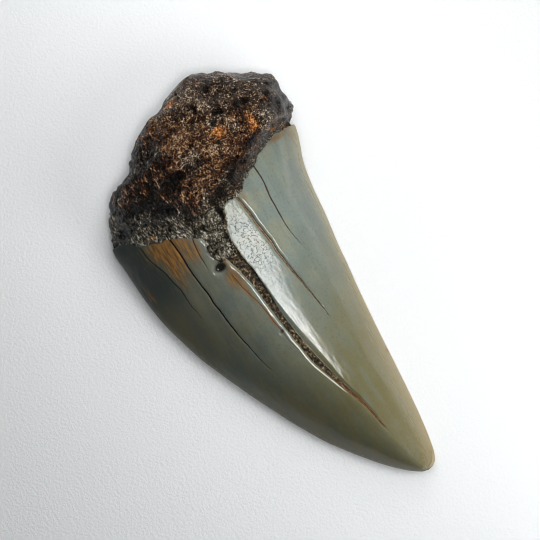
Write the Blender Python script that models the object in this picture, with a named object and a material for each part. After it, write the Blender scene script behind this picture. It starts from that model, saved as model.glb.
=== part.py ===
"""Fossil shark tooth lying on its flat face: one grown piece, crown and root together.

The tooth is a loft. Each cross section runs from the left edge to the right edge
over the domed upper face, and back along the flatter under face.
+Y points from the tip to the root, +X to the right as seen from above, +Z up.
"""
import bmesh
import bpy
import numpy as np

MM = 0.001

# Left and right ends of each cross section, (x, y) in mm, from the tip to the end of the root
SECTION_ENDS = [
    ((3.95, -28.66), (5.45, -28.72)),
    ((3.10, -28.05), (6.04, -28.23)),
    ((1.60, -26.72), (6.52, -27.20)),
    ((0.17, -25.20), (6.90, -25.60)),
    ((-1.35, -23.30), (7.30, -23.30)),
    ((-4.20, -19.30), (7.80, -19.30)),
    ((-6.30, -15.55), (8.20, -15.40)),
    ((-9.40, -8.88), (8.85, -8.60)),
    ((-11.08, -4.85), (9.30, -4.75)),
    ((-12.22, -1.82), (9.75, -1.60)),
    ((-13.14, 1.44), (10.10, 1.30)),
    ((-13.92, 5.07), (10.68, 4.90)),
    ((-14.26, 9.10), (11.20, 9.00)),
    ((-14.35, 12.30), (11.85, 12.20)),
    ((-14.45, 14.20), (12.60, 14.20)),
    ((-14.25, 15.60), (13.15, 15.75)),
    ((-13.85, 16.20), (13.32, 16.60)),
    ((-13.60, 16.90), (13.05, 17.15)),
    ((-13.30, 18.00), (13.50, 17.80)),
    ((-12.70, 19.00), (14.30, 18.75)),
    ((-11.96, 20.10), (14.50, 19.90)),
    ((-11.00, 21.20), (14.30, 21.00)),
    ((-9.35, 21.90), (14.45, 22.20)),
    ((-7.90, 22.45), (14.40, 22.80)),
    ((-6.65, 23.70), (14.03, 23.50)),
    ((-5.16, 25.10), (12.65, 24.50)),
    ((-4.04, 25.90), (11.15, 25.50)),
    ((-1.96, 26.85), (9.64, 26.55)),
    ((-0.04, 27.20), (8.33, 27.25)),
    ((1.14, 27.75), (7.00, 28.20)),
    ((3.48, 28.60), (5.84, 28.78)),
]
TIP = (4.73, -28.87, 1.00)
ROOT_END = (4.76, 28.87, 4.60)

# Height profiles along the tooth, (y, height) in mm
CROWN_CREST = [(-28.9, 1.7), (-27.5, 2.8), (-25.0, 4.0), (-20.0, 5.5), (-15.0, 6.65),
               (-10.0, 7.1), (-4.0, 7.55), (4.0, 8.1), (12.0, 8.6), (17.0, 8.8), (29.0, 9.0)]
ROOT_CREST = [(-28.9, 8.8), (9.0, 9.0), (12.0, 9.5), (15.0, 10.5), (18.0, 11.2),
              (21.0, 11.0), (24.5, 9.9), (27.0, 8.4), (28.9, 6.5)]
EDGE_HEIGHT = [(-28.9, 1.0), (-20.0, 1.1), (0.0, 1.4), (12.0, 1.9), (15.5, 2.6),
               (18.0, 3.8), (24.0, 4.6), (28.9, 4.6)]
UNDER_LIFT = [(-28.9, 0.8), (-26.0, 0.35), (-21.0, 0.08), (-15.0, 0.0), (20.0, 0.0),
              (24.0, 0.5), (27.0, 1.8), (28.9, 3.8)]
FLAT_SHARE = 0.42

# The line where the enamel of the crown ends and the root begins, (x, y) in mm
ENAMEL_LINE = [(-15.0, 15.6), (-11.9, 14.9), (-9.8, 13.5), (-6.6, 12.4), (-4.2, 10.9),
               (-1.6, 11.2), (0.8, 12.6), (2.8, 13.2), (4.1, 13.9), (6.0, 14.8),
               (8.6, 16.2), (10.6, 17.0), (15.0, 17.1)]
# How far past that line the root takes to rise, (x, length) in mm
ROOT_RISE_LENGTH = [(-15.0, 5.5), (-5.0, 4.5), (0.0, 3.2), (4.0, 2.0), (15.0, 1.8)]

# The broken end facet of the root: two points of its crease, (x, y), and its heights in mm
CREASE_START = (-1.8, 26.1)
CREASE_END = (11.4, 20.4)
CREASE_HEIGHT = 10.2
FACET_SLOPE = 0.55
CREASE_ROUNDING = 0.7

# The crest of the tooth, and the main crack that runs down it on the crown, (y, value) in mm
CREST_X = [(-28.9, 4.7), (-22.0, 3.1), (-18.0, 2.4), (-13.4, 1.5), (-9.0, 0.4), (-4.7, -0.55),
           (2.0, -1.0), (6.4, -1.4), (9.0, -1.2), (12.8, 0.2), (18.0, 1.6), (28.9, 4.7)]
CRACK_WIDTH = [(-22.5, 0.3), (-14.0, 0.9), (-5.0, 1.4), (6.4, 1.5), (12.8, 1.3)]
CRACK_DEPTH = [(-22.5, 0.0), (-18.0, 0.2), (-4.0, 0.45), (6.0, 0.6), (11.5, 0.45), (13.5, 0.0)]

# Where the level strip beside the crack ends, and how softly it turns down, (y, value) in mm
STRIP_END = [(-28.9, 4.9), (-20.0, 4.2), (-16.0, 4.1), (-12.0, 3.7), (-8.0, 3.1), (-4.0, 3.2),
             (0.0, 3.9), (4.0, 4.4), (12.0, 4.5)]
STRIP_ROUNDING = 0.9
LEFT_FACE_FLATNESS = 0.3
RIGHT_FACE_FLATNESS = 0.45

# How finely the skin is divided
LEFT_FACE_POINTS = 13
RIGHT_FACE_POINTS = 13
UNDER_FACE_POINTS = 20
STEPS_BETWEEN_SECTIONS = 2

# Soft lumps on the root, in mm
LUMP_SIZE = 3.2
LUMP_HEIGHT = 0.9


def smooth_step(values):
    """Zero below 0, one above 1, and an S curve between them."""
    t = np.clip(values, 0.0, 1.0)
    return t * t * (3.0 - 2.0 * t)


def along(profile, at):
    """Read a profile of (position, value) points by a cubic that never overshoots them."""
    position, value = np.array(profile).T
    step = np.diff(value) / np.diff(position)
    before, after = step[:-1], step[1:]
    same_way = before * after > 0.0
    mean = 2.0 * before * after / np.where(same_way, before + after, 1.0)
    slope = np.concatenate((step[:1], np.where(same_way, mean, 0.0), step[-1:]))
    at = np.clip(at, position[0], position[-1])
    i = np.clip(np.searchsorted(position, at) - 1, 0, len(position) - 2)
    gap = position[i + 1] - position[i]
    t = (at - position[i]) / gap
    rise = 3.0 * t ** 2 - 2.0 * t ** 3
    start_bend = (t - 2.0 * t ** 2 + t ** 3) * gap * slope[i]
    end_bend = (t ** 3 - t ** 2) * gap * slope[i + 1]
    return value[i] * (1.0 - rise) + value[i + 1] * rise + start_bend + end_bend


def section_ends():
    """The two ends of every cross section, with curved steps between the chosen ones."""
    chosen = np.array(SECTION_ENDS).reshape(len(SECTION_ENDS), 4)
    index = np.arange(len(chosen), dtype=float)
    fine = np.linspace(0.0, index[-1], int(index[-1]) * STEPS_BETWEEN_SECTIONS + 1)
    columns = [along(np.column_stack((index, column)), fine) for column in chosen.T]
    return np.column_stack(columns)


def past_enamel(x, y):
    """How far the root has risen at a place: zero on the crown, one on the root."""
    line_x, line_y = np.array(ENAMEL_LINE).T
    return smooth_step((y - np.interp(x, line_x, line_y)) / along(ROOT_RISE_LENGTH, x))


def facet_height(x, y):
    """Height of the plane that cuts the root's end, level along its crease."""
    run = np.subtract(CREASE_END, CREASE_START)
    across = np.array((-run[1], run[0])) / np.hypot(*run)
    past_crease = (x - CREASE_START[0]) * across[0] + (y - CREASE_START[1]) * across[1]
    return CREASE_HEIGHT - FACET_SLOPE * past_crease


def past(value, rounding):
    """Zero before 0 and the value itself after it, with the corner rounded over this length."""
    return np.logaddexp(0.0, value / rounding) * rounding


def crown_height(x, y, left_x, right_x):
    """Left face falling from the crack's lip, level strip right of the crack, then the right face."""
    edge = along(EDGE_HEIGHT, y)
    lip_x = np.maximum(along(CREST_X, y) - along(CRACK_WIDTH, y) / 2.0, left_x + 0.2)
    strip_end = np.minimum(along(STRIP_END, y), right_x - 0.2)
    left_run = np.clip((lip_x - x) / (lip_x - left_x), 0.0, 1.0)
    right_run = past(x - strip_end, STRIP_ROUNDING) / (right_x - strip_end)
    left_drop = LEFT_FACE_FLATNESS * left_run + (1.0 - LEFT_FACE_FLATNESS) * left_run ** 2
    right_drop = RIGHT_FACE_FLATNESS * right_run + (1.0 - RIGHT_FACE_FLATNESS) * right_run ** 2
    share = np.maximum(1.0 - left_drop - np.clip(right_drop, 0.0, 1.0), 0.0)
    return edge + (along(CROWN_CREST, y) - edge) * share


def root_height(x, y, left_x, right_x):
    """Round dome from edge to edge, cut by the plane of the broken end."""
    edge = along(EDGE_HEIGHT, y)
    crest_x = along(CREST_X, y)
    reach = np.where(x < crest_x, left_x - crest_x, right_x - crest_x)
    side = np.clip((x - crest_x) / reach, 0.0, 1.0)
    dome = edge + (along(ROOT_CREST, y) - edge) * np.sqrt(1.0 - side ** 2.4)
    return np.maximum(dome - past(dome - facet_height(x, y), CREASE_ROUNDING), edge)


def upper_height(x, y, left_x, right_x):
    """Height of the upper face: the crown, rising to the rounder and higher root past the enamel."""
    crown = crown_height(x, y, left_x, right_x)
    return crown + (root_height(x, y, left_x, right_x) - crown) * past_enamel(x, y)


def under_height(side, y):
    """Height of the under face: flat along the middle, then curving up to the edges."""
    out = np.clip((side - FLAT_SHARE) / (1.0 - FLAT_SHARE), 0.0, 1.0) ** 2
    rounded = 1.0 - np.sqrt(1.0 - out)
    curve = out + (rounded - out) * smooth_step((y - 13.0) / 5.0)
    lift = along(UNDER_LIFT, y)
    return lift + (along(EDGE_HEIGHT, y) - lift) * curve


def closer_to_edge(count):
    """Steps from 0 at the edge to 1 inside, closer together near the edge."""
    even = np.linspace(0.0, 1.0, count)
    return 0.5 * even + 0.5 * (1.0 - np.cos(even * np.pi / 2.0))


def section(ends):
    """One closed cross section: the upper face from left to right, then the under face back."""
    left_x, left_y, right_x, right_y = ends
    width = right_x - left_x
    middle_y = (left_y + right_y) / 2.0
    crack_x = np.clip(along(CREST_X, middle_y), left_x + 0.3 * width, right_x - 0.3 * width)
    half_crack = min(along(CRACK_WIDTH, middle_y) / 2.0, 0.05 * width)
    from_left = left_x + (crack_x - half_crack - left_x) * closer_to_edge(LEFT_FACE_POINTS)
    from_right = right_x - (right_x - crack_x - half_crack) * closer_to_edge(RIGHT_FACE_POINTS)
    upper_x = np.concatenate((from_left, [crack_x], from_right[::-1]))
    upper_y = left_y + (right_y - left_y) * (upper_x - left_x) / width
    upper_z = upper_height(upper_x, upper_y, left_x, right_x)
    upper_z[LEFT_FACE_POINTS] -= along(CRACK_DEPTH, middle_y)
    even = np.linspace(1.0, -1.0, UNDER_FACE_POINTS + 2)[1:-1]
    side = 0.5 * even + 0.5 * np.sin(even * np.pi / 2.0)
    under_x = (left_x + right_x + side * width) / 2.0
    under_y = left_y + (right_y - left_y) * (under_x - left_x) / width
    under_z = under_height(np.abs(side), under_y)
    upper = np.column_stack((upper_x, upper_y, upper_z))
    under = np.column_stack((under_x, under_y, under_z))
    return np.concatenate((upper, under))


def add_loop(bm, points):
    """Add one closed loop of vertices and edges, and give its edges back."""
    verts = [bm.verts.new(point * MM) for point in points]
    return [bm.edges.new((verts[i - 1], verts[i])) for i in range(len(verts))]


def close_end(bm, loop, point):
    """Close a loop with a fan of triangles that meet in one point."""
    face = bmesh.ops.contextual_create(bm, geom=loop)["faces"][0]
    centre = bmesh.ops.poke(bm, faces=[face])["verts"][0]
    centre.co = np.array(point) * MM


def tooth_mesh():
    """Bridge the cross sections into one closed skin."""
    bm = bmesh.new()
    loops = [add_loop(bm, section(ends)) for ends in section_ends()]
    for first, second in zip(loops, loops[1:]):
        bmesh.ops.bridge_loops(bm, edges=first + second)
    close_end(bm, loops[0], TIP)
    close_end(bm, loops[-1], ROOT_END)
    bmesh.ops.recalc_face_normals(bm, faces=bm.faces[:])
    mesh = bpy.data.meshes.new("tooth")
    bm.to_mesh(mesh)
    bm.free()
    mesh.shade_smooth()
    return mesh


def add_root_lumps(tooth):
    """Raise soft lumps on the root, none on the crown or on the flat under face."""
    group = tooth.vertex_groups.new(name="root_surface")
    for vertex in tooth.data.vertices:
        x, y, z = vertex.co / MM
        above_table = smooth_step((z - 2.5) / 2.5)
        inside_end = smooth_step((ROOT_END[1] - y) / 2.0)
        group.add([vertex.index], float(past_enamel(x, y) * above_table * inside_end), "REPLACE")
    lumps = bpy.data.textures.new("root_lumps", "CLOUDS")
    lumps.noise_scale = LUMP_SIZE * MM
    lumps.noise_depth = 1
    displace = tooth.modifiers.new("root_lumps", "DISPLACE")
    displace.texture = lumps
    displace.texture_coords = "LOCAL"
    displace.vertex_group = group.name
    displace.strength = LUMP_HEIGHT * MM
    displace.mid_level = 0.6


def fossil_tooth_material():
    """Grey mineral of the crown, which covers most of the tooth."""
    material = bpy.data.materials.new("fossil_tooth")
    material.use_nodes = True
    shader = material.node_tree.nodes["Principled BSDF"]
    shader.inputs["Base Color"].default_value = (0.20, 0.22, 0.19, 1.0)
    shader.inputs["Roughness"].default_value = 0.3
    shader.inputs["Metallic"].default_value = 0.0
    return material


def build():
    """Clear the scene and make the tooth."""
    for old in list(bpy.data.objects):
        bpy.data.objects.remove(old)
    tooth = bpy.data.objects.new("tooth", tooth_mesh())
    bpy.context.scene.collection.objects.link(tooth)
    tooth.data.materials.append(fossil_tooth_material())
    add_root_lumps(tooth)


build()
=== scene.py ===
# %% [markdown]
# A fossil shark tooth, lying on a pale table with its domed face up.
#
# The tooth is one grown piece: a glossy grey crown of fossil enamel, split by long cracks, and a rough
# brown root of porous bone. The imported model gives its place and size. This lesson makes one fine mesh
# with numpy that stands in for it, and one material for both the enamel and the bone.

import bpy
import numpy as np
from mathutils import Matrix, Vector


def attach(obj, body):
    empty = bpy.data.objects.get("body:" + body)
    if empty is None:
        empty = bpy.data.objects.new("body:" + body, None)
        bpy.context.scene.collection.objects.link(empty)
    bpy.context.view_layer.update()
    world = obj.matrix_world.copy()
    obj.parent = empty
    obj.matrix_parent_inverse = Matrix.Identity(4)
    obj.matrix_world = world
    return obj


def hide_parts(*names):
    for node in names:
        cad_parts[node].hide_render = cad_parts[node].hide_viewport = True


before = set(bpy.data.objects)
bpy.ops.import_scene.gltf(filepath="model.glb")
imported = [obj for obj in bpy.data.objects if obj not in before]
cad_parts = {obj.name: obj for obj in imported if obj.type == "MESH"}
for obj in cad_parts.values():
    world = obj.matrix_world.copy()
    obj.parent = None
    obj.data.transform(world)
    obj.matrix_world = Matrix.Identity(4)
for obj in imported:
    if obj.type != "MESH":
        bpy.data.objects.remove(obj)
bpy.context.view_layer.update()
MM = 0.001

# %% [markdown]
# Two small tools come first. A profile is a short list of (position, value) points in millimetres, and
# reading it with a cubic gives a smooth line that never swings past its own points. A smooth step is the
# S curve that blends one surface or colour into the next. Splines from a curve object could do the same,
# but a plain function reads whole arrays of positions at once.


# %% Read a profile and blend smoothly
def smooth_step(values):
    """Zero below 0, one above 1, and the S curve 3 t^2 - 2 t^3 between them."""
    t = np.clip(values, 0.0, 1.0)
    return t * t * (3.0 - 2.0 * t)


def fade(values, low, high):
    """An S curve that is zero at low and one at high. It falls where high is the smaller of the two."""
    return smooth_step((values - low) / (high - low))


def bell(value, reach):
    """One at zero, falling to both sides: e to the power of -(value / reach)^2."""
    return np.exp(-(value / reach) ** 2)


def along(profile, at):
    """Cubic through the points. Each slope is the harmonic mean of its two neighbours' slopes."""
    position, value = np.array(profile, dtype=float).T
    step = np.diff(value) / np.diff(position)
    before, after = step[:-1], step[1:]
    same_way = before * after > 0.0
    mean = 2.0 * before * after / np.where(same_way, before + after, 1.0)
    slope = np.concatenate((step[:1], np.where(same_way, mean, 0.0), step[-1:]))
    at = np.clip(at, position[0], position[-1])
    i = np.clip(np.searchsorted(position, at) - 1, 0, len(position) - 2)
    gap = position[i + 1] - position[i]
    t = (at - position[i]) / gap
    rise = 3.0 * t ** 2 - 2.0 * t ** 3
    start_bend = (t - 2.0 * t ** 2 + t ** 3) * gap * slope[i]
    end_bend = (t ** 3 - t ** 2) * gap * slope[i + 1]
    return value[i] * (1.0 - rise) + value[i + 1] * rise + start_bend + end_bend


def past(value, rounding):
    """Zero before 0 and the value after it, the corner rounded: rounding * log(1 + e^(value / rounding))."""
    return np.logaddexp(0.0, value / rounding) * rounding


print("half way up the S curve:", smooth_step(0.5), "and a quarter of the way along it:", smooth_step(0.25))

# %% [markdown]
# The outline of the tooth, seen from above, is a row of cross sections. Each one has the x and y of its
# left end and of its right end, in millimetres, from the tip at -Y to the broken end of the root at +Y.
# The left side is the full curve of the blade and the right side is its straighter cutting edge, with a
# small notch where the enamel meets the root.

# %% Outline and height profiles
SECTION_ENDS = [
    (3.95, -28.66, 5.45, -28.72), (3.1, -28.05, 6.04, -28.23), (1.6, -26.72, 6.52, -27.2),
    (0.17, -25.2, 6.9, -25.6), (-1.35, -23.3, 7.3, -23.3), (-4.2, -19.3, 7.8, -19.3),
    (-6.3, -15.55, 8.2, -15.4), (-9.4, -8.88, 8.85, -8.6), (-11.08, -4.85, 9.3, -4.75),
    (-12.22, -1.82, 9.75, -1.6), (-13.14, 1.44, 10.1, 1.3), (-13.92, 5.07, 10.68, 4.9),
    (-14.26, 9.1, 11.2, 9), (-14.35, 12.3, 11.85, 12.2), (-14.45, 14.2, 12.6, 14.2),
    (-14.25, 15.6, 13.15, 15.75), (-13.85, 16.2, 13.32, 16.6), (-13.6, 16.9, 13.05, 17.15),
    (-13.3, 18, 13.5, 17.8), (-12.7, 19, 14.3, 18.75), (-11.96, 20.1, 14.5, 19.9),
    (-11, 21.2, 14.3, 21), (-9.35, 21.9, 14.45, 22.2), (-7.9, 22.45, 14.4, 22.8),
    (-6.65, 23.7, 14.03, 23.5), (-5.16, 25.1, 12.65, 24.5), (-4.04, 25.9, 11.15, 25.5),
    (-1.96, 26.85, 9.64, 26.55), (-0.04, 27.2, 8.33, 27.25), (1.14, 27.75, 7, 28.2),
    (3.48, 28.6, 5.84, 28.78),
]
TIP = (4.73, -28.87, 1.0)
ROOT_END = (4.76, 28.87, 4.6)

CROWN_CREST = [(-28.9, 1.7), (-27.5, 2.8), (-25, 4), (-20, 5.5), (-15, 6.65),
               (-10, 7.1), (-4, 7.55), (4, 8.1), (12, 8.6), (17, 8.8), (29, 9)]
ROOT_CREST = [(-28.9, 8.8), (9, 9), (12, 9.5), (15, 10.5), (18, 11.2),
              (21, 11), (24.5, 9.9), (27, 8.4), (28.9, 6.5)]
EDGE_HEIGHT = [(-28.9, 1), (-20, 1.1), (0, 1.4), (12, 1.9), (15.5, 2.6),
               (18, 3.8), (24, 4.6), (28.9, 4.6)]
UNDER_LIFT = [(-28.9, 0.8), (-26, 0.35), (-21, 0.08), (-15, 0), (20, 0),
              (24, 0.5), (27, 1.8), (28.9, 3.8)]
FLAT_SHARE = 0.42
EDGE_HALF_THICKNESS = 0.11
THIN_EDGE_ENDS = (17.0, 14.0)
UNDER_ROUNDS = (13.0, 18.0)
SIDES_ROUND = (12.0, 18.0)

ENAMEL_LINE = [(-15, 15.6), (-13.3, 15.55), (-11.9, 15), (-11.2, 14), (-9.8, 13.45), (-8, 12.9),
               (-6.6, 12.35), (-5.3, 11.65), (-4.15, 10.7), (-1.6, 11), (-0.6, 11.5), (0, 12),
               (0.85, 12.84), (1.6, 12.95), (2.3, 12.65), (3.4, 13.05), (4.1, 13.9), (6, 14.84),
               (8.6, 16.25), (10.6, 17.05), (12.5, 16.9), (15, 17.1)]
UNDER_ENAMEL_LINE = [(-15, 15.6), (-8, 17.6), (0, 18.7), (8, 18.3), (15, 17.1)]
ROOT_RISE_LENGTH = [(-15, 5.5), (-5, 4.5), (0, 3.2), (4, 2), (15, 1.8)]
CREASE_START = (-1.8, 26.1)
CREASE_END = (11.4, 20.4)
CREASE_HEIGHT = 10.2
FACET_SLOPE = 0.55
CREASE_ROUNDING = 0.5
print("outline:", len(SECTION_ENDS), "sections, from", TIP[1], "to", ROOT_END[1], "mm")

# %% [markdown]
# The cracks are the tooth's most telling marks. They all run from the root towards the tip, so each is a
# profile too: its x at a given y. The main crack is a wide filled groove with two lips. A tongue of root
# material runs into its upper end, where the enamel has broken away.

# %% Lines on the crown
CREST_X = [(-28.9, 4.7), (-22, 3.1), (-18, 2.4), (-13.4, 1.5), (-9, 0.4), (-4.7, -0.55),
           (2, -1), (6.4, -1.4), (9, -1.2), (12.8, 0.2), (18, 1.6), (28.9, 4.7)]
GROOVE_LEFT = [(-28.9, 4.6), (-22.5, 3), (-18, 2.15), (-14.5, 1.05), (-12.7, 0.45), (-9.5, -0.55),
               (-5.5, -1.1), (-1.5, -1.5), (2.7, -1.85), (5, -2.35), (8, -3.2), (11, -4.1),
               (29, -4.2)]
GROOVE_RIGHT = [(-28.9, 4.8), (-22.5, 3.2), (-18, 2.75), (-13.7, 1.8), (-10, 1.2), (-5.6, 0.45),
                (-0.6, -0.25), (3.7, -0.52), (7.2, -0.97), (8.8, -0.98), (10.5, -0.61), (11.9, 0.04),
                (29, 1)]
GROOVE_DEPTH = [(-22.5, 0), (-19, 0.12), (-14, 0.3), (-8, 0.42), (4, 0.45), (11, 0.4),
                (14, 0)]
FILL_END = [(-22, 0.6), (-14, 0.52), (-6, 0.5), (-3, 0.58), (1, 0.85), (5, 0.92),
            (12, 0.95)]
STRIP_END = [(-28.9, 4.9), (-20, 4.2), (-16, 4.1), (-12, 3.7), (-8, 3.1), (-4, 3.2), (0, 3.9),
             (4, 4.4), (12, 4.5)]
STRIP_ROUNDING = [(-28.9, 1.2), (-16, 0.9), (-12, 0.65), (-8, 0.65), (-4, 0.8), (0, 1.1),
                  (12, 0.8)]
LEFT_FACE_FLATNESS = 0.3
RIGHT_FACE_FLATNESS = 0.45
LIP_ROUNDING = 0.15
LIP_FLAT = 0.35
print("main crack:", round(CREST_X[1][0], 1), "to", CREST_X[9][0], "mm along the tooth")


# %% [markdown]
# The upper face is a soft roof. From the lips of the main crack the left face slopes down almost flat to
# the left edge. The strip to its right is nearly level, which is why it shines, and beyond the strip the
# right face turns down to the cutting edge. On the root the roof becomes a round dome, cut by the plane
# of its broken end. Sculpting would give one result; a height function can be tuned line by line.


# %% Heights of the upper and under faces
def enamel_distance(x, y, line):
    """How far y is past the enamel line at x: positive on the root, negative on the crown."""
    return y - np.interp(x, *np.array(line).T)


def facet_height(x, y):
    """Height of the plane that cuts the root's end: level along its crease, falling beyond it."""
    run = np.subtract(CREASE_END, CREASE_START)
    across = np.array((-run[1], run[0])) / np.hypot(*run)
    past_crease = (x - CREASE_START[0]) * across[0] + (y - CREASE_START[1]) * across[1]
    return CREASE_HEIGHT - FACET_SLOPE * past_crease


def crown_height(x, y, left_x, right_x):
    """Edge height plus the crest, less a sloping drop on the left and a later one on the right."""
    edge = along(EDGE_HEIGHT, y)
    groove_left = np.maximum(along(GROOVE_LEFT, y), left_x + 0.2)
    strip_end = np.minimum(along(STRIP_END, y), right_x - 0.2)
    left_run = past(groove_left - LIP_FLAT - x, LIP_ROUNDING) / (groove_left - left_x)
    right_run = past(x - strip_end, along(STRIP_ROUNDING, y)) / (right_x - strip_end)
    left_drop = LEFT_FACE_FLATNESS * left_run + (1.0 - LEFT_FACE_FLATNESS) * left_run ** 2
    right_drop = RIGHT_FACE_FLATNESS * right_run + (1.0 - RIGHT_FACE_FLATNESS) * right_run ** 2
    share = 1.0 - np.clip(left_drop, 0.0, 1.0) - np.clip(right_drop, 0.0, 1.0)
    return edge + (along(CROWN_CREST, y) - edge) * np.maximum(share, 0.0)


def root_height(x, y, left_x, right_x):
    """A round dome from edge to edge, with the plane of the broken end taken off by a soft minimum."""
    edge = along(EDGE_HEIGHT, y)
    crest_x = along(CREST_X, y)
    reach = np.where(x < crest_x, left_x - crest_x, right_x - crest_x)
    side = np.clip((x - crest_x) / reach, 0.0, 1.0)
    dome = edge + (along(ROOT_CREST, y) - edge) * np.sqrt(1.0 - side ** 2.4)
    return np.maximum(dome - past(dome - facet_height(x, y), CREASE_ROUNDING), edge)


def upper_height(x, y, left_x, right_x):
    """The crown's height, blended to the root's past the enamel line."""
    rise = smooth_step(enamel_distance(x, y, ENAMEL_LINE) / along(ROOT_RISE_LENGTH, x))
    crown = crown_height(x, y, left_x, right_x)
    return crown + (root_height(x, y, left_x, right_x) - crown) * rise


def under_height(side, y):
    """Flat along the middle, then up to the edges: a parabola on the crown, a quarter circle on the root."""
    out = np.clip((side - FLAT_SHARE) / (1.0 - FLAT_SHARE), 0.0, 1.0) ** 2
    rounded = 1.0 - np.sqrt(1.0 - out)
    curve = out + (rounded - out) * fade(y, *UNDER_ROUNDS)
    lift = along(UNDER_LIFT, y)
    return lift + (along(EDGE_HEIGHT, y) - lift) * curve


strip_height = float(crown_height(2.0, 4.0, -13.6, 10.6))
print("strip beside the main crack:", round(strip_height, 2), "mm above the table")

# %% [markdown]
# Now the grid. Its rows are cross sections, closer together on the root, where the detail is finest. Its
# columns run round each section: left edge, over the top to the main crack, on to the right edge, and
# back underneath. A column follows the main crack all the way, so that the groove stays sharp.

# %% Lay out the grid
ROWS = 345
LEFT_COLUMNS = 112
RIGHT_COLUMNS = 108
UNDER_COLUMNS = 66
ROW_SPACING = [(-29, 0.1), (-26, 0.19), (6, 0.19), (12, 0.11), (29, 0.1)]


def section_rows():
    """Ends of every row: the chosen sections read by cubics, with the row spacing given above."""
    chosen = np.array(SECTION_ENDS)
    index = np.arange(len(chosen), dtype=float)
    fine = np.linspace(0.0, index[-1], 4000)
    middle_y = (chosen[:, 1] + chosen[:, 3]) / 2.0
    y = along(np.column_stack((index, middle_y)), fine)
    row_counts = np.diff(y) / along(ROW_SPACING, (y[1:] + y[:-1]) / 2.0)
    rows_so_far = np.concatenate(([0.0], np.cumsum(row_counts)))
    picked = np.interp(np.linspace(0.0, rows_so_far[-1], ROWS), rows_so_far, fine)
    return np.column_stack([along(np.column_stack((index, column)), picked) for column in chosen.T])


def edge_steps(count, roundness):
    """Steps from 0 at the edge to 1 inside.

    On the crown they are close together at both ends, t + 0.5 (3t^2 - 2t^3 - t). On the round root they
    are close together at the edge only, 1 - cos t.
    """
    even = np.linspace(0.0, 1.0, count)[None, :]
    both_ends = even + 0.5 * (smooth_step(even) - even)
    return (1.0 - roundness) * both_ends + roundness * (1.0 - np.cos(even * np.pi / 2.0))


def tooth_grid():
    """Smooth tooth: x, y and z of the grid in mm, which columns are on top, and how far inside the edge.

    The rim gives the thin edge its thickness: half of it times sqrt(1 - out^60), out being 1 at the edge.
    """
    left_x, left_y, right_x, right_y = (column[:, None] for column in section_rows().T)
    middle_y = (left_y + right_y) / 2.0
    width = right_x - left_x
    roundness = 0.7 * fade(middle_y, *SIDES_ROUND)
    crest_x = np.clip(along(CREST_X, middle_y) - 0.3, left_x + 0.3 * width, right_x - 0.3 * width)
    from_left = left_x + (crest_x - left_x) * edge_steps(LEFT_COLUMNS, roundness)
    from_right = right_x - (right_x - crest_x) * edge_steps(RIGHT_COLUMNS + 1, roundness)
    upper_x = np.concatenate((from_left, from_right[:, -2::-1]), axis=1)
    even = np.linspace(1.0, -1.0, UNDER_COLUMNS + 2)[None, 1:-1]
    side = (1.0 - roundness) * even + roundness * np.sin(even * np.pi / 2.0)
    under_x = (left_x + right_x + side * width) / 2.0
    x = np.concatenate((upper_x, under_x), axis=1)
    across = (x - left_x) / width
    y = left_y + (right_y - left_y) * across
    rim = EDGE_HALF_THICKNESS * np.sqrt(1.0 - np.abs(2.0 * across - 1.0) ** 60)
    rim = rim * fade(y, *THIN_EDGE_ENDS)
    on_top = np.arange(x.shape[1]) < upper_x.shape[1]
    upper_z = upper_height(x, y, left_x, right_x) + rim
    from_middle = np.abs(2.0 * across - 1.0)
    under_z = under_height(from_middle, y) - rim * fade(from_middle, 0.6, 0.95)
    return x, y, np.where(on_top, upper_z, under_z), on_top, np.minimum(x - left_x, right_x - x)


x, y, z, on_top, edge_in = tooth_grid()
print("grid:", x.shape[0], "rows of", x.shape[1], "points, highest", round(z.max(), 2), "mm")


# %% [markdown]
# Bone and enamel are never smooth, so the relief needs noise. Noise here is worked out in numpy, because
# it then moves the mesh itself, and the same numbers can be handed to the material. Each whole-number
# corner of a lattice gets a repeatable random direction, and the values are blended between corners.


# %% Noise
def corner_random(corner, seed):
    """Repeatable number from 0 to 1 for whole-number corners, by multiplying and folding their bits."""
    bits = (corner[..., 0] * 73856093) ^ (corner[..., 1] * 19349663)
    bits = (bits ^ (corner[..., 2] * 83492791) ^ (seed * 6542989)) & 0xFFFFFFFF
    bits = ((bits ^ (bits >> 15)) * 739982445) & 0xFFFFFFFF
    bits = ((bits ^ (bits >> 12)) * 695872825) & 0xFFFFFFFF
    return ((bits ^ (bits >> 15)) & 0xFFFFFF) / 0xFFFFFF


def soft_noise(places, size, seed):
    """Gradient noise, about -1 to 1: random slopes at the corners, blended by t^3 (6 t^2 - 15 t + 10)."""
    cell = places / np.asarray(size, dtype=float)
    low = np.floor(cell).astype(np.int64)
    t = cell - low
    ease = t ** 3 * (t * (t * 6.0 - 15.0) + 10.0)
    total = np.zeros(places.shape[:-1])
    for corner in np.ndindex(2, 2, 2):
        offset = t - corner
        chances = [corner_random(low + corner, seed + axis) for axis in range(3)]
        slopes = np.stack(chances, axis=-1) * 2.0 - 1.0
        weight = np.prod(np.where(np.array(corner) == 1, ease, 1.0 - ease), axis=-1)
        total += weight * np.sum(slopes * offset, axis=-1)
    return total * 1.5


def layered_noise(places, size, seed, layers=3):
    """Soft noise at one size, plus half as much at half the size, and so on."""
    halves = [0.5 ** layer for layer in range(layers)]
    return sum(half * soft_noise(places, np.asarray(size) * half, seed + 31 * layer)
               for layer, half in enumerate(halves))


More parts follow.
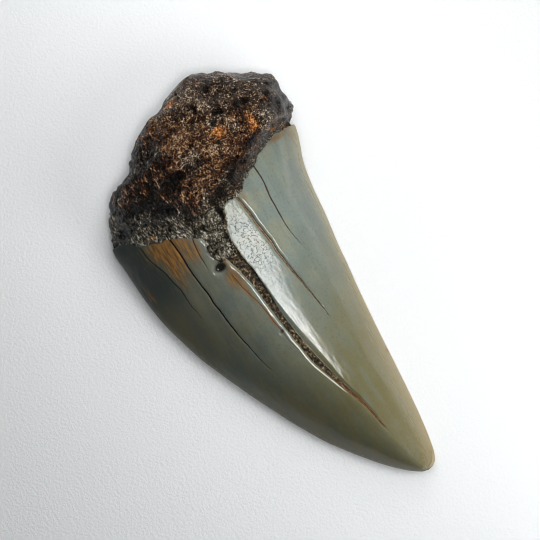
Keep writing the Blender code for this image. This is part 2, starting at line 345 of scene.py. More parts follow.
def pore_distance(places, size, seed):
    """Distance, in cells, to the nearest of the random points, one in each cell and its neighbours."""
    cell = places / np.asarray(size, dtype=float)
    low = np.floor(cell).astype(np.int64)
    nearest = np.full(places.shape[:-1], 9.0)
    for step in np.ndindex(3, 3, 3):
        corner = low + np.array(step) - 1
        chances = [corner_random(corner, seed + axis) for axis in range(3)]
        centre = corner + np.stack(chances, axis=-1)
        nearest = np.minimum(nearest, np.sum((cell - centre) ** 2, axis=-1))
    return np.sqrt(nearest)


noise_sample = soft_noise(np.random.default_rng(3).uniform(-20.0, 20.0, (2000, 3)), 1.0, 1)
print("soft noise: from", round(float(noise_sample.min()), 2), "to", round(float(noise_sample.max()), 2))

# %% [markdown]
# Each crack is read as a signed distance: how far a point lies to its left or right. The distance serves
# twice, to press the groove into the mesh here and to draw the dark line in the material later, where it
# stays crisp however coarse the mesh. A little noise makes the line wander as a real crack does.

# %% Cracks as signed distances
CRACKS = {
    "groove_side": ([(-16, 1.2), (-4.35, -1.67), (-2.85, -1.82), (-0.76, -2.02), (1.51, -2.55),
                     (3.78, -3.07), (6, -3.4)], 0.09, (-8.5, 5)),
    "strip": ([(-5.27, 4.36), (-3.33, 4.1), (-1.74, 3.91), (-0.15, 3.72), (1.33, 3.47), (2.92, 3.29),
               (4.51, 3.1), (5.86, 3.06), (7.45, 2.88), (8.87, 2.73), (10.39, 2.65), (12.16, 2.42),
               (13.5, 2.2)], 0.17, (-5.6, 13.4)),
    "right": ([(0.9, 6.75), (2.63, 6.35), (3.66, 6.11), (4.97, 5.9), (6.39, 5.75), (7.85, 5.78),
               (9.41, 5.87), (10.98, 5.96), (12.86, 6.25), (14.5, 6.24)], 0.11, (3.9, 15.2)),
    "left": ([(-8.6, -5.05), (-7.6, -5.35), (-5.98, -5.82), (-4.16, -6.15), (-2.67, -6.4), (-0.74, -6.66),
              (1.13, -6.82), (3, -6.98), (4.8, -7.04), (6.56, -7.26), (7.91, -7.3), (9.54, -7.31),
              (11.17, -7.33), (12.59, -7.47), (13.5, -7.6)], 0.1, (-7.6, 13.2)),
    "far_left": ([(2, -9.2), (3.17, -9.38), (4.76, -9.57), (6.56, -9.62), (7.77, -9.9), (9.42, -10.19),
                  (10.87, -10.61), (12.14, -11), (13.84, -11.12)], 0.08, (2.4, 13.8)),
    "short": ([(6.6, -5.3), (7.28, -5.34), (8.46, -5.34), (9.85, -5.21), (11.35, -5.01)], 0.08,
              (7, 11.8)),
}
places = np.stack((x, y, z), axis=-1)
wander = 0.07 * soft_noise(places, 1.3, 5) + 0.03 * soft_noise(places, 0.45, 9)


def crack_distance(path, half_width, ends):
    """Signed distance to the crack in half widths. It grows past both ends, so that the line thins out."""
    first, last = ends
    beyond = np.maximum(first - y, 0.0) * 2.0 + np.maximum(y - last, 0.0) * 6.0
    taper = 0.35 + 0.65 * fade(y, first, first + 0.45 * (last - first))
    distance = (x - along(path, y) + wander) / (half_width * taper)
    return distance + np.sign(distance) * beyond / half_width


cracks = {name: crack_distance(*shape) for name, shape in CRACKS.items()}


def crack_mm(name):
    """Signed distance to a crack in mm: the distance in half widths times its half width."""
    return cracks[name] * CRACKS[name][1]


print("cracks:", ", ".join(cracks))

# %% [markdown]
# Relief of the crown: the filled groove of the main crack, the finer cracks, the round pit beside the
# tongue, a few small pits, and the faint waviness that old enamel has along its length.

# %% Press the cracks and pits into the crown
PITS = [(-4.0, 6.45, 0.85, 0.45), (-1.67, -4.3, 0.35, 0.22), (5.13, -11.35, 0.16, 0.08),
        (-3.58, -7.83, 0.14, 0.05)]
CRACK_DEPTHS = {"strip": 0.22, "right": 0.05, "left": 0.13, "far_left": 0.04, "short": 0.06}
ENAMEL_WAVE = 0.03
NARROWEST_GROOVE = 0.13


def bored(holes):
    """Depth of round holes with flat floors, depth e^-(r / radius)^4. Each has x, y, radius and depth."""
    return on_top * sum(depth * np.exp(-(np.hypot(x - hole_x, y - hole_y) / radius) ** 4)
                        for hole_x, hole_y, radius, depth in holes)


groove_left = along(GROOVE_LEFT, y)
groove_right = along(GROOVE_RIGHT, y)
groove_width = np.maximum(groove_right - groove_left, 0.05)
from_groove = x + 0.8 * wander - groove_left
across_groove = from_groove / groove_width
groove_depth = along(GROOVE_DEPTH, y)
fill_end = along(FILL_END, y)
groove_wall = fade(across_groove, fill_end - 0.08, np.maximum(fill_end + 0.12, 1.0))
groove_shape = fade(across_groove, -0.05, 0.22) * (1.0 - groove_wall)
groove_reach = fade(y, -22.4, -20.0)

enamel_line = np.where(on_top, enamel_distance(x, y, ENAMEL_LINE), enamel_distance(x, y, UNDER_ENAMEL_LINE))
tongue = np.minimum(np.minimum(x + 4.1 - 0.25 * np.sin(y * 2.0), groove_right - 0.1 - x), y - 6.9)
tongue = np.where(on_top, np.minimum(tongue, 13.0 - y), -9.0)
ragged = 0.2 * soft_noise(places, 1.1, 21) + 0.12 * soft_noise(places, 0.4, 22)
root_distance = np.maximum(enamel_line, tongue) + ragged
on_root = fade(root_distance, -0.08, 0.08)

crown_relief = -groove_depth * groove_shape * on_top
for name, depth in CRACK_DEPTHS.items():
    crown_relief -= on_top * depth * bell(crack_mm(name), max(CRACKS[name][1], NARROWEST_GROOVE))
strip_lip = 0.06 * bell(crack_mm("strip") - 0.52, 0.3)
crown_relief += on_top * strip_lip * fade(y, -4.5, 0.0)
enamel_brim = 0.07 * bell(enamel_line + 0.28, 0.2)
crown_relief += on_top * enamel_brim * fade(x, 2.2, 3.0) * (1.0 - 0.7 * fade(x, 4.0, 5.0))
crown_relief -= bored(PITS)
crown_relief += ENAMEL_WAVE * soft_noise(places, (1.6, 6.0, 3.0), 41)
crown_relief += 0.01 * soft_noise(places, (0.5, 1.2, 1.0), 43)
print("main crack:", round(float(np.max(groove_depth)), 2), "mm deep")

# %% [markdown]
# Relief of the root: soft lumps, then bone grain drawn out along the tooth, then pores and a few larger
# holes. The broken end and the smooth corner are calmer than the rest, and a hollow shelf runs beside the
# enamel. The rim of the root is worn down, most of all in a bay at its upper left.

# %% Raise the bone grain and open the pores of the root
ROOT_HOLES = [(3.75, 24.95, 0.34, 0.5), (3.55, 24.45, 0.32, 0.5), (5.6, 23.05, 0.42, 0.5),
              (6.3, 22.95, 0.42, 0.5), (9.47, 22.49, 0.55, 0.4), (6.14, 26.12, 0.35, 0.35),
              (10.78, 22.7, 0.3, 0.3), (-2.11, 18.82, 0.45, 0.5), (-4.2, 25, 0.4, 0.4),
              (-7.2, 19, 0.3, 0.3), (1, 21, 0.3, 0.3), (7.6, 20.2, 0.3, 0.25)]
SHELF_LINE = [(-14, 20.4), (-11.4, 18.9), (-7.9, 17), (-5.1, 15.4), (-2.7, 13.6), (0, 13.4),
              (15, 13.4)]
LUMP_HEIGHTS = (0.42, 0.28)
GRAIN_HEIGHT = 0.26
GRANULE_HEIGHT = 0.11
PORE_SPACING = 1.1
PORE_DEPTH = 0.22
SHELF_DEPTH = 0.3
TONGUE_DEPTH = 0.15
WORN_RIM_DEPTH = 0.16
BAY_DEPTH = 0.35


def near_spot(spot_x, spot_y, reach_x, reach_y=None):
    """One at a spot on the upper face, falling to zero round it like a bell."""
    reach_y = reach_y or reach_x
    return on_top * bell(x - spot_x, reach_x) * bell(y - spot_y, reach_y)


past_crease = fade(CREASE_HEIGHT - facet_height(x, y), -0.3, 0.5) * on_top
past_shelf = y - np.interp(x, *np.array(SHELF_LINE).T) + 0.5 * soft_noise(places, 1.2, 27)
shelf = on_top * fade(-past_shelf, -0.2, 0.3)
smooth_corner = near_spot(13.2, 20.0, 2.2, 2.4)
flank = on_top * fade(-x, 1.0, 4.0) * (1.0 - past_crease)
calm = np.clip(1.0 - 0.85 * smooth_corner - 0.45 * past_crease, 0.1, 1.0)

lumps = LUMP_HEIGHTS[0] * soft_noise(places, 3.4, 61) + LUMP_HEIGHTS[1] * soft_noise(places, 1.6, 62)
round_grain = 0.5 - np.abs(layered_noise(places, 0.75, 63, 2))
long_grain = 0.5 - np.abs(layered_noise(places, (0.5, 1.5, 0.7), 64, 2))
grain = round_grain + (long_grain - round_grain) * flank
granules = soft_noise(places, 0.38, 66) + 0.6 * soft_noise(places, 0.22, 67)
pores = fade(pore_distance(places, PORE_SPACING, 71), 0.28, 0.08)
fine_relief = calm * (GRAIN_HEIGHT * grain + GRANULE_HEIGHT * granules - PORE_DEPTH * pores)
fine_relief -= bored(ROOT_HOLES)
shelf_trough = -SHELF_DEPTH * on_top * fade(-x, 3.5, 6.0) * bell(past_shelf - 0.3, 0.6)
tongue_relief = -TONGUE_DEPTH + 0.12 * grain + 0.1 * granules
deep_root = fade(enamel_line, -0.2, 1.0)
root_relief = tongue_relief + (lumps + fine_relief + shelf_trough - tongue_relief) * deep_root
groove_fill = fade(across_groove, 0.05, 0.17) * fade(across_groove, fill_end + 0.14, fill_end)
groove_fill = on_top * groove_fill * groove_reach
relief = crown_relief + (root_relief - crown_relief) * on_root
relief += groove_fill * (1.0 - on_root) * (0.1 * granules + 0.1 * grain)
upper_left_bay = bell(x + 9.0, 2.6) * bell(y - 22.2, 1.8)
relief -= on_root * bell(edge_in, 1.2) * (WORN_RIM_DEPTH + BAY_DEPTH * upper_left_bay)
relief = np.where(on_top, relief, relief * fade(z, 0.1, 1.5))


def outward(grid):
    """Normals of a closed ring grid: across the rings times round the rings, at unit length."""
    round_ring = np.roll(grid, -1, axis=1) - np.roll(grid, 1, axis=1)
    across_rings = np.gradient(grid, axis=0)
    normal = np.cross(round_ring, across_rings)
    return normal / np.maximum(np.linalg.norm(normal, axis=-1, keepdims=True), 1e-9)


normals = outward(places)
normals *= np.sign(np.sum(normals[:, LEFT_COLUMNS, 2]))
end_calm = fade(np.minimum(y - TIP[1], ROOT_END[1] - y), 0.1, 1.2)
surface = places + normals * (relief * end_calm)[..., None]
surface[..., 2] = np.maximum(surface[..., 2], 0.0)
print("relief: from", round(float(relief.min()), 2), "to", round(float(relief.max()), 2), "mm")

# %% [markdown]
# Broad changes of colour are worked out here as masks from 0 to 1, where the cracks and outlines are
# already known. The enamel darkens from the main crack to the full left edge: partly its own stain, in
# steps at two cracks that held back the stain, and partly painted shade on the face that slopes away from
# the light. It turns olive towards the tip and tan at the thin cutting edge, and a painted highlight line
# runs along the left edge towards the tip.

# %% Masks for the broad colours
left_x, left_y, right_x, right_y = (column[:, None] for column in section_rows().T)
from_lip = np.clip((groove_left - x) / (groove_left - left_x), 0.0, 1.0)
soft_patches = layered_noise(places, 2.4, 81, 3)
# Darker towards the left edge: partly the enamel's own stain, partly painted shade on the face that slopes
# away from the light.
left_stain_and_shade = 0.16 + 0.7 * fade(from_lip + 0.07 * soft_patches, -0.25, 0.8)
left_stain_and_shade = (left_stain_and_shade - 0.3 * near_spot(-8.5, 4.0, 1.0, 4.5)) * fade(from_lip, -0.02, 0.06)
behind_left = fade(crack_mm("left"), 0.15, -0.15) * fade(y, -6.0, 2.0)
from_far = crack_mm("far_left") + 0.15 * soft_patches
behind_far = fade(from_far, 0.2, -0.2) * fade(y, 3.0, 9.0)
warm = np.clip(fade(-y + 0.6 * x, -4.0, 18.0) + 0.12 * soft_patches, 0.0, 1.0)
# Tan of the thin cutting edge; the line below adds a painted highlight line along the left edge towards the
# tip.
tan_edge_and_rim_highlight = np.exp(-np.maximum(right_x - x, 0.0) / (0.45 + 0.9 * fade(-y, -2.0, 22.0)))
tan_edge_and_rim_highlight = np.maximum(tan_edge_and_rim_highlight, 0.8 * np.exp(-np.maximum(x - left_x, 0.0) / 0.3) * fade(-y, -6.0, 2.0))
pale_band = bell(x - 9.2 - 0.4 * (y - 12.0), 0.4) * fade(y, 6.0, 12.0) * fade(y, 17.5, 16.0)
blue_band = bell(x - right_x + 1.6, 0.8) * fade(y, -6.0, 4.0)

ENAMEL_STAINS = [(-8.9, 12.4, 1.7, 1.3, 1), (-8.9, 9.5, 0.7, 2.8, 0.8), (-7.7, 9.8, 0.45, 2.6, 0.6),
                 (-6.2, 9.8, 1, 2.2, 0.35), (-7, 11.8, 3.2, 2.4, 0.5), (-3.2, 4.7, 1.1, 1.8, 0.9),
                 (-2.6, 1.6, 0.45, 2.2, 0.6), (-1.9, -2.3, 0.35, 2.4, 0.55), (-3, 7.4, 1.1, 0.6, 0.5),
                 (10.3, 16.5, 1.4, 0.5, 0.8), (12.2, 16, 0.8, 1, 0.4), (3.2, 12.2, 0.5, 0.9, 0.5),
                 (2.9, 8, 0.25, 4, 0.35), (-5.3, 9.8, 1.3, 1.8, 0.25), (-13.3, 8.3, 0.5, 1.6, 0.4),
                 (8.3, -13.4, 0.35, 0.5, 0.7), (6.3, -27, 0.8, 1, 0.25)]
ROOT_RUST = [(4.66, 20.6, 1.1, 0.9, 1), (8.84, 19.4, 0.9, 1.3, 0.9), (11.9, 21.4, 0.4, 0.4, 0.8),
             (5.5, 27.3, 0.6, 0.4, 0.8), (1.6, 26.7, 1.2, 0.3, 0.6), (10.5, 17.7, 0.9, 0.5, 0.9),
             (12.2, 17, 0.9, 0.3, 0.7), (-6.9, 19.7, 1, 1.2, 0.65), (-1.5, 22.5, 1.5, 0.9, 0.3),
             (2, 17.2, 1.2, 0.9, 0.35), (-8, 14.6, 1.8, 0.4, 0.25), (-9.5, 13.9, 1.2, 0.4, 0.6)]
# Black patches: the pits' own dark fill, plus painted shade along the steps beside the tongue and at the
# root's right edge, and in the trough beside the shelf.
ROOT_BLACK_AND_SHADE = [(-4, 6.45, 0.95, 0.7, 1), (-1.67, -4.3, 0.3, 0.3, 0.9), (-3, 18.5, 0.9, 0.8, 0.5),
              (-8.8, 17.9, 2.6, 0.7, 1), (-6, 15.9, 1.6, 0.8, 1), (-11.9, 16.3, 1.6, 0.7, 0.9),
              (-0.35, 11.6, 0.3, 1.9, 1), (-1.2, 9.2, 0.25, 1.4, 0.9), (0.5, 14.2, 1, 1, 0.8),
              (5, 16.2, 1.6, 0.7, 0.7), (7.6, 17.7, 1.8, 0.6, 0.6), (-3.5, 18.5, 1.4, 1.2, 0.6),
              (8.6, 22.4, 0.9, 0.5, 0.5), (3, 15.2, 1.2, 0.8, 0.6), (-3.9, 14.3, 1, 0.7, 0.5),
              (-5.5, 22, 3.5, 3, 0.22)]


def patches(spots):
    """Sum of the spots' bells, kept below one. Each has x, y, its reach in x and in y, and its strength."""
    return np.clip(sum(strength * near_spot(*place) for *place, strength in spots), 0.0, 1.0)


enamel_stain = patches(ENAMEL_STAINS)
root_rust = patches(ROOT_RUST)
root_black_and_shade = patches(ROOT_BLACK_AND_SHADE)
# Dark band where the root steps over the crown on the right: partly dark stain, partly painted shade in the
# recess.
right_boundary_stain_and_shade = on_top * bell(enamel_line - 0.6, 0.7)
right_boundary_stain_and_shade = right_boundary_stain_and_shade * fade(x, 2.5, 4.5) * fade(x, 13.0, 11.5)
from_strip = crack_mm("strip")
strip_mask = on_top * fade(x - groove_right, -0.1, 0.25) * fade(from_strip, 0.0, -0.25)
strip_mask = strip_mask * fade(y, -13.0, 8.0)
left_lip = on_top * fade(np.abs(from_groove + 0.3), 0.4, 0.2) * fade(y, -18.0, -14.0)
# A painted highlight: a thin pale line along the main crack's left lip, in the lower part of the crack.
lip_highlight_line = on_top * bell(from_groove + 0.1, 0.11)
lip_highlight_line *= fade(-y, 2.0, 5.0) * fade(y, -16.5, -13.5)
right_lip = on_top * fade(np.abs(from_strip - 0.4), 0.35, 0.15) * fade(y, -5.5, -3.0)
print("masks ready, darkest share of the left face:", round(float(left_stain_and_shade.max()), 2))

# %% [markdown]
# The arrays become a mesh. Every ring closes on itself, and a fan of triangles closes the tip and the
# root's end, so the tooth is one watertight skin with its faces outward. The masks and distances go in
# with it as attributes, one number or one triple for each vertex, for the material to read.


# %% Build the mesh
def ring_faces(rows, columns):
    """Corner numbers of the quads between neighbouring rings, each ring closed on itself."""
    first = np.arange(rows - 1)[:, None] * columns
    here = np.arange(columns)[None, :]
    after = (here + 1) % columns
    following = first + columns
    corners = np.broadcast_arrays(first + here, first + after, following + after, following + here)
    return np.stack(corners, axis=-1).reshape(-1, 4)


def add_attribute(mesh, name, *values):
    """Store one number, or three as a triple, for each vertex. The two poles repeat their nearest ring."""
    grids = [np.broadcast_to(value, x.shape) for value in values]
    flat = [np.concatenate((grid.ravel(), [grid[0].mean(), grid[-1].mean()])) for grid in grids]
    kind, key = ("FLOAT", "value") if len(values) == 1 else ("FLOAT_VECTOR", "vector")
    packed = np.stack(flat, axis=-1).astype(np.float32).ravel()
    mesh.attributes.new(name, kind, "POINT").data.foreach_set(key, packed)


def add_object(name, data):
    """Put a mesh, a light or a camera into the scene."""
    thing = bpy.data.objects.new(name, data)
    bpy.context.scene.collection.objects.link(thing)
    return thing


def make_tooth():
    """Mesh from the displaced grid plus two poles."""
    rows, columns = x.shape
    corners = np.concatenate((surface.reshape(-1, 3), [TIP], [ROOT_END])) * MM
    quads = ring_faces(rows, columns)
    here = np.arange(columns)
    after = (here + 1) % columns
    last = (rows - 1) * columns
    tip_fan = np.column_stack((after, here, np.full(columns, rows * columns)))
    end_fan = np.column_stack((last + here, last + after, np.full(columns, rows * columns + 1)))
    triangles = np.concatenate((tip_fan, end_fan))
    loops = np.concatenate((quads.ravel(), triangles.ravel()))
    starts = np.concatenate((np.arange(len(quads)) * 4, len(quads) * 4 + np.arange(len(triangles)) * 3))
    mesh = bpy.data.meshes.new("fossil_tooth")
    mesh.vertices.add(len(corners))
    mesh.vertices.foreach_set("co", corners.ravel())
    mesh.loops.add(len(loops))
    mesh.loops.foreach_set("vertex_index", loops)
    mesh.polygons.add(len(starts))
    mesh.polygons.foreach_set("loop_start", starts)
    mesh.update(calc_edges=True)
    mesh.validate()
    mesh.shade_smooth()
    return add_object("fossil_tooth", mesh)


tooth = make_tooth()
mesh = tooth.data
# The smooth worn corner, and the band at the root's right step, which is partly painted shade.
smooth_and_shaded_zone = np.maximum(smooth_corner, 0.55 * right_boundary_stain_and_shade)
shelf_zone = shelf + 1.5 * on_top * (1.0 - deep_root)
ATTRIBUTES = {
    "root_distance": (root_distance,),
    # Relief without the broad lumps; the root's colour darkens with it in the hollows, partly as painted
    # shade.
    "height_detail": (np.where(on_root > 0.5, relief - 0.4 * lumps, relief),),
    "flank": (flank,),
    "cracks_right": (cracks["strip"], cracks["right"], cracks["groove_side"]),
    "cracks_left": (cracks["left"], cracks["far_left"], cracks["short"]),
    "left_tone": (left_stain_and_shade, behind_left, behind_far),
    "right_tone": (warm, tan_edge_and_rim_highlight, blue_band - pale_band),
    "crack_fill": (groove_fill, strip_mask, fade(-y, 11.0, 18.0)),
    # Stains, rust, and black patches that are partly painted shade.
    "stains_and_shade": (enamel_stain, root_rust, root_black_and_shade),
    "root_zones": (smooth_and_shaded_zone, past_crease, shelf_zone),
    # The lip triple: the gloss mask of both lips, then the painted highlight line of the left lip.
    "lip": (np.maximum(left_lip, right_lip), lip_highlight_line, 0.0),
}
for name, values in ATTRIBUTES.items():
    add_attribute(mesh, name, *values)
mesh.calc_loop_triangles()
print("tooth mesh:", len(mesh.vertices), "vertices,", len(mesh.loop_triangles), "triangles")

# %% [markdown]
# Node helpers. A material is a small graph, and these few functions keep each step of it to one line.


# %% Node helpers
def put(kind, settings=None, tree=None, **inputs):
    """Add a node, set its own settings, and fill its inputs: a socket is linked, a number is stored.

    The tree is the one that its sockets are in, so only a node that takes none is told its tree.
    """
    sockets = [value for value in inputs.values() if isinstance(value, bpy.types.NodeSocket)]
    tree = tree or sockets[0].id_data
    node = tree.nodes.new(kind)
    for name, value in (settings or {}).items():
        setattr(node, name, value)
    for name, value in inputs.items():
        socket = node.inputs[int(name[1:])] if name[0] == "i" and name[1:].isdigit() else node.inputs[name]
        if isinstance(value, bpy.types.NodeSocket):
            tree.links.new(value, socket)
        else:
            socket.default_value = value
    return node


def calc(operation, first, second=0.0, third=0.0):
    """One sum on numbers or sockets."""
    return put("ShaderNodeMath", {"operation": operation}, i0=first, i1=second, i2=third).outputs[0]


def times(*factors):
    """All of the factors multiplied together."""
    product = factors[0]
    for factor in factors[1:]:
        product = calc("MULTIPLY", product, factor)
    return product


def step_up(value, low, high, bottom=0.0, top=1.0):
    """The bottom value at low, the top value at high, and an S curve between them."""
    node = put("ShaderNodeMapRange", {"interpolation_type": "SMOOTHSTEP"}, Value=value)
    for name, number in (("From Min", low), ("From Max", high), ("To Min", bottom), ("To Max", top)):
        node.inputs[name].default_value = number
    return node.outputs["Result"]


def shade(red, green, blue):
    """Turn a colour as seen on a screen, 0 to 255, into the linear numbers that a shader wants."""
    seen = np.array((red, green, blue)) / 255.0
    linear = np.where(seen <= 0.04045, seen / 12.92, ((seen + 0.055) / 1.055) ** 2.4)
    return (*linear.tolist(), 1.0)


def tint(share, first, second):
    """Colour that goes from the first to the second as the share goes from 0 to 1.

    Each of the two is a socket, or a colour as seen on a screen.
    """
    first, second = (shade(*colour) if isinstance(colour, tuple) else colour for colour in (first, second))
    return put("ShaderNodeMix", {"data_type": "RGBA"}, i0=share, i6=first, i7=second).outputs[2]


def layers(colour, *coats):
    """Lay the coats over the colour one after the other, each one a share and its own colour."""
    for share, coat in coats:
        colour = tint(share, colour, coat)
    return colour


def between(share, first, second):
    """Number that goes from the first to the second as the share goes from 0 to 1."""
    return put("ShaderNodeMix", {"data_type": "FLOAT"}, i0=share, i2=first, i3=second).outputs[0]


def mottle(place, size, detail=3.0, roughness=0.55, distortion=0.0):
    """Noise with this size in mm; its value is about 0.3 to 0.7."""
    noise = put("ShaderNodeTexNoise", Vector=place, Scale=1.0 / size, Detail=detail,
                Roughness=roughness, Distortion=distortion)
    return noise.outputs["Fac"]


def nearest_cell(place, size):
    """Distance to the nearest of the points spread this many mm apart, and that point's random number."""
    cells = put("ShaderNodeTexVoronoi", Vector=place, Scale=1.0 / size)
    chance = put("ShaderNodeSeparateColor", Color=cells.outputs["Color"]).outputs[0]
    return cells.outputs["Distance"], chance


def specks(place, spacing, radius, share):
    """Round dots with this radius in mm, in only this share of the cells of a grid with this spacing."""
    distance, chance = nearest_cell(place, spacing)
    dot = step_up(distance, radius / spacing, 0.5 * radius / spacing)
    return times(dot, calc("LESS_THAN", chance, share))


def granules_of(place, size):
    """Rounded grains of this size in mm. Gives the dome height of each, 0 to 1, and its own random number."""
    distance, chance = nearest_cell(place, size)
    return step_up(distance, 0.62, 0.12), chance


def ramp(value, *stops):
    """Colour that passes through the stops, each one a position from 0 to 1 and a colour on the screen."""
    node = put("ShaderNodeValToRGB", Fac=value)
    points = node.color_ramp.elements
    while len(points) < len(stops):
        points.new(0.5)
    for point, (position, colour) in zip(points, stops):
        point.position = position
        point.color = shade(*colour)
    return node.outputs["Color"]


def stretched(place, x_size, y_size, z_size):
    """Scale the place so that one unit is this many mm along each axis."""
    scale = (1.0 / x_size, 1.0 / y_size, 1.0 / z_size)
    return put("ShaderNodeMapping", Vector=place, Scale=scale).outputs[0]


def stored(tree, name):
    """Read one of the mesh's attributes: a single number, or the three numbers of a triple."""
    node = put("ShaderNodeAttribute", {"attribute_name": name}, tree)
    parts = put("ShaderNodeSeparateXYZ", Vector=node.outputs["Vector"])
    return node.outputs["Fac"], *parts.outputs


def new_material(name):
    """A material with its node tree, its shader, and the place in the object in mm."""
    material = bpy.data.materials.new(name)
    material.use_nodes = True
    tree = material.node_tree
    place = put("ShaderNodeTexCoord", tree=tree).outputs["Object"]
    mm = put("ShaderNodeVectorMath", {"operation": "SCALE"}, Vector=place, Scale=1000.0).outputs[0]
    return material, tree, tree.nodes["Principled BSDF"], mm


def press(tree, shader, height):
    """Bump the shader's normal with a height in mm."""
    bump = put("ShaderNodeBump", Height=height, Distance=MM)
    tree.links.new(bump.outputs["Normal"], shader.inputs["Normal"])


print("middle grey on the screen is", round(shade(128, 128, 128)[0], 3), "in linear light")

# %% [markdown]
# The enamel is grey-green and nearly clean on the right. Colour mixes follow the masks, then fine noise
# breaks every edge, because mineral stain never stops at a clean line.


# %% Enamel colour
def enamel_colour(tree, mm):
    """Grey-green right face, left face darker by stain and painted shade, olive tip, tan edge, brown stains.
    """
    _, left_stain_and_shade_s, behind_left_s, behind_far_s = stored(tree, "left_tone")
    _, warm_s, tan_and_rim_highlight_s, band_s = stored(tree, "right_tone")
    _, stain_s, _, black_and_shade_s = stored(tree, "stains_and_shade")
    broad = mottle(mm, 5.0, 4.0, 0.6)
    streaks = mottle(stretched(mm, 0.8, 6.0, 2.0), 1.0, 4.0, 0.6)
    fine = mottle(mm, 0.3, 2.0, 0.65)
    strands = mottle(stretched(mm, 0.22, 1.6, 0.8), 1.0, 3.0, 0.6)
    left_tone = tint(warm_s, (76, 82, 72), (93, 91, 66))
    clouds = mottle(stretched(mm, 1.6, 5.0, 3.0), 1.0, 3.0, 0.6)
    cloud_tone = tint(step_up(clouds, 0.42, 0.58), (62, 74, 76), (94, 87, 60))
    rusty = tint(step_up(strands, 0.35, 0.65), (98, 70, 40), (156, 112, 58))
    stain_edge = calc("ADD", stain_s, calc("MULTIPLY_ADD", strands, 1.2, -0.6))
    base = tint(step_up(broad, 0.38, 0.62), (131, 142, 135), (146, 150, 132))
    return layers(
        base,
        (warm_s, (115, 110, 76)),
        (times(step_up(streaks, 0.42, 0.66), 0.38), (115, 124, 114)),
        (step_up(band_s, 0.0, 1.0, 0.0, 0.4), (98, 108, 106)),
        (step_up(band_s, 0.0, -1.0, 0.0, 0.35), (160, 160, 145)),
        # Tan cutting edge, and on the left edge a painted highlight line.
        (times(tan_and_rim_highlight_s, 0.75), (190, 170, 128)),
        # The left face's darker tone: partly its own stain, partly painted shade.
        (left_stain_and_shade_s, left_tone),
        (times(left_stain_and_shade_s, 0.3), cloud_tone),
        (times(behind_left_s, 0.3), (84, 70, 46)),
        (times(behind_far_s, 0.75), (44, 55, 57)),
        (step_up(stain_edge, 0.05, 1.0, 0.0, 0.9), rusty),
        (times(step_up(fine, 0.5, 0.72), 0.22), (70, 72, 62)),
        (times(specks(mm, 0.9, 0.07, 0.35), 0.5), (60, 52, 36)),
        # Black: the pits' dark fill, and painted shade along the step beside the tongue.
        (step_up(black_and_shade_s, 0.3, 0.75, 0.0, 0.95), (14, 13, 12)),
    )


def crack_lines(tree, mm, colour, grain):
    """Dark lines at the cracks, painted shade on the strip crack's right side, granular fill in the main one,
    a painted highlight on its left lip, and pits on the strip.
    """
    _, strip_d, right_d, side_d = stored(tree, "cracks_right")
    _, left_d, far_d, short_d = stored(tree, "cracks_left")
    _, fill_s, strip_s, rust_end_s = stored(tree, "crack_fill")
    fine = mottle(mm, 0.22, 3.0, 0.6)
    wobble = calc("MULTIPLY_ADD", fine, 0.8, -0.4)
    brown = tint(step_up(fine, 0.42, 0.58), (60, 40, 22), (134, 98, 58))
    # Black on the right side of the strip crack is painted shade on the wall that faces away from the light.
    brown = tint(step_up(strip_d, 0.2, 0.6), brown, (14, 9, 6))
    lines = ((strip_d, brown, 0.95), (right_d, (58, 42, 26), 0.9), (side_d, (92, 58, 34), 0.7),
             (left_d, (16, 12, 9), 0.97), (far_d, (22, 20, 16), 0.85), (short_d, (60, 34, 16), 0.9))
    for distance, line_colour, strength in lines:
        reach = calc("ADD", calc("ABSOLUTE", distance), wobble)
        colour = tint(step_up(reach, 1.15, 0.6, 0.0, strength), colour, line_colour)
    coarse = mottle(mm, 0.33, 3.0, 0.65)
    fill_light = calc("MULTIPLY_ADD", grain, 0.6, calc("MULTIPLY_ADD", coarse, 2.8, -1.25))
    fill_colour = ramp(fill_light, (0.0, (12, 10, 6)), (0.4, (74, 60, 40)), (1.0, (180, 156, 116)))
    fill_colour = tint(times(rust_end_s, 0.75), fill_colour, (112, 68, 32))
    fill_edge = calc("ADD", fill_s, wobble)
    # A painted highlight along the left lip of the main crack.
    lip_highlight_edge = calc("ADD", stored(tree, "lip")[2], wobble)
    return layers(
        colour,
        (step_up(fill_edge, 0.25, 0.6), fill_colour),
        (step_up(lip_highlight_edge, 0.35, 0.75, 0.0, 0.85), (212, 214, 206)),
        (times(strip_pits(tree, mm), strip_s, 0.65), (34, 30, 24)),
    )


def strip_pits(tree, mm):
    """Round pits and, near the root, a broken net of hair cracks, 0 to 1."""
    cells = put("ShaderNodeTexVoronoi", {"feature": "DISTANCE_TO_EDGE"}, Vector=mm, Scale=2.6)
    broken = step_up(mottle(mm, 0.35), 0.5, 0.58)
    crackle = times(step_up(cells.outputs["Distance"], 0.075, 0.02), broken)
    head_s = step_up(stored(tree, "crack_fill")[2], 0.85, 1.0, 0.1, 1.0)
    holes = step_up(mottle(mm, 0.2, 2.0, 0.7), 0.66, 0.74)
    return times(calc("MAXIMUM", holes, times(crackle, 0.6)), head_s)


print("stains on the enamel:", len(ENAMEL_STAINS))

# %% [markdown]
# Old root bone is full of fine channels, so at this size it looks like salt and pepper: tan and grey grains
# over nearly black hollows, darkened partly by their own fill and partly by painted shade. Rust sits in a
# few patches, one corner is worn smooth and grey, and black patches are partly painted shade along the
# root's steps.


